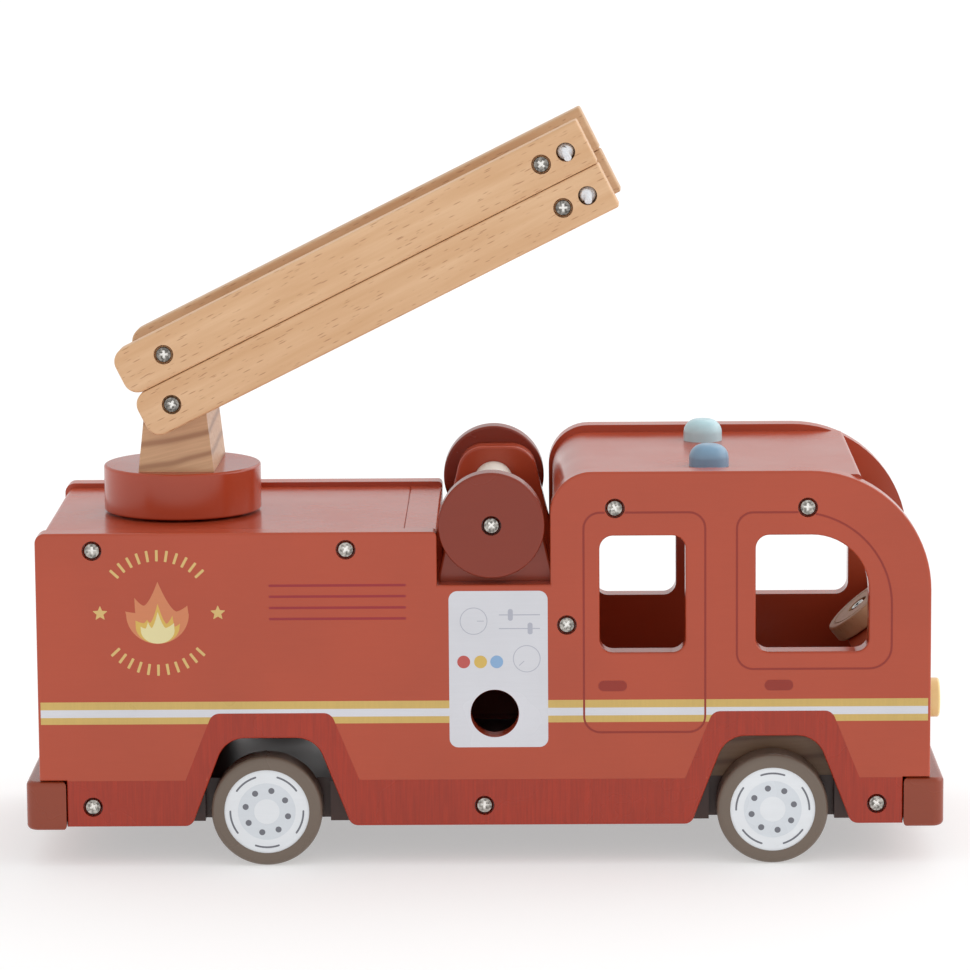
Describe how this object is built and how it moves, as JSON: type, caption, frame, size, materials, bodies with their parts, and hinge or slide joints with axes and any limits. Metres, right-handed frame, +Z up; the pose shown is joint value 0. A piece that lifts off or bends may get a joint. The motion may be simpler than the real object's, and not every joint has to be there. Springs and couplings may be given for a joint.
{
  "type": "toy fire engine",
  "caption": "Wooden toy fire engine with a turning, lifting and unfolding ladder, a hose reel behind the cab, windows, a steering wheel and free-rolling wheels.",
  "frame": {"origin": "on the floor under the middle of the toy's bounding box", "axes": "+X forward, +Y towards the toy's left side, +Z up"},
  "size_m": [0.3716, 0.1382, 0.2994],
  "materials": {
    "red_paint": "satin",
    "dark_red_paint": "satin",
    "dark_stain": "matte",
    "beech": "satin",
    "pine": "satin",
    "white_paint": "satin",
    "grey_tyre": "satin",
    "yellow_paint": "satin",
    "mint_paint": "gloss",
    "blue_paint": "gloss",
    "steel": "polished",
    "elastic": "matte"
  },
  "bodies": {
    "chassis": {"side_panel_right": "red_paint", "side_panel_left": "red_paint", "base_board": "dark_stain", "rear_bumper": "dark_red_paint", "front_bumper": "dark_red_paint", "rear_wall": "red_paint", "box_roof": "red_paint", "bulkhead": "red_paint", "bay_floor": "dark_red_paint", "cab_rear_wall": "red_paint", "cab_roof": "red_paint", "front_wall": "red_paint", "axle_block": "pine", "dashboard": "red_paint", "steering_screw": "steel", "headlamp_right": "yellow_paint", "headlamp_left": "yellow_paint", "beacon_right": "blue_paint", "beacon_left": "mint_paint", "rear_axle_washers": "steel", "front_axle_washers": "steel", "panel_screws": "steel", "reel_bracket_right": "red_paint", "reel_bracket_left": "red_paint", "turntable_washer": "steel"},
    "steering": {"steering_wheel": "beech"},
    "rear_wheelset": {"rear_axle": "steel", "rear_wheel_disc_right": "white_paint", "rear_tyre_right": "grey_tyre", "rear_wheel_disc_left": "white_paint", "rear_tyre_left": "grey_tyre"},
    "front_wheelset": {"front_axle": "steel", "front_wheel_disc_right": "white_paint", "front_tyre_right": "grey_tyre", "front_wheel_disc_left": "white_paint", "front_tyre_left": "grey_tyre"},
    "reel": {"reel_disc_right": "dark_red_paint", "reel_disc_left": "dark_red_paint", "reel_core": "white_paint", "reel_spindle": "beech", "reel_screws": "steel"},
    "turntable": {"turntable_disc": "red_paint", "mast": "pine", "pivot_screws": "steel", "bolt_washer": "steel", "turntable_bolt": "steel"},
    "lower_ladder": {"lower_rail_right": "beech", "lower_rail_left": "beech", "lower_rungs": "beech", "lower_ladder_screws": "steel", "lower_cord_knots": "elastic", "elastic_cords": "elastic"},
    "upper_ladder": {"upper_rail_right": "beech", "upper_rail_left": "beech", "upper_rungs": "beech", "upper_ladder_screws": "steel", "upper_cord_knots": "elastic"}
  },
  "joints": [
    {"name": "rear_axle_spin", "type": "hinge", "parent": "chassis", "child": "rear_wheelset", "pos_m": [-0.0882, 0, 0.0225], "axis": [0, 1, 0], "continuous": true},
    {"name": "front_axle_spin", "type": "hinge", "parent": "chassis", "child": "front_wheelset", "pos_m": [0.1165, 0, 0.0225], "axis": [0, 1, 0], "continuous": true},
    {"name": "steering_spin", "type": "hinge", "parent": "chassis", "child": "steering", "pos_m": [0.16, 0, 0.08775], "axis": [-0.6428, 0, 0.766], "continuous": true},
    {"name": "reel_spin", "type": "hinge", "parent": "chassis", "child": "reel", "pos_m": [0.0035, 0, 0.1394], "axis": [0, 1, 0], "continuous": true},
    {"name": "turntable_turn", "type": "hinge", "parent": "chassis", "child": "turntable", "pos_m": [-0.1251, 0, 0.155], "axis": [0, 0, 1], "continuous": true},
    {"name": "ladder_lift", "type": "hinge", "parent": "turntable", "child": "lower_ladder", "pos_m": [-0.1251, 0, 0.18475], "axis": [-0.0297, -0.9996, 0], "range_deg": [-28, 60]},
    {"name": "ladder_unfold", "type": "hinge", "parent": "lower_ladder", "child": "upper_ladder", "pos_m": [0.04828, -0.00515, 0.28238], "axis": [0.0297, 0.9996, 0], "range_deg": [0, 180]}
  ]
}
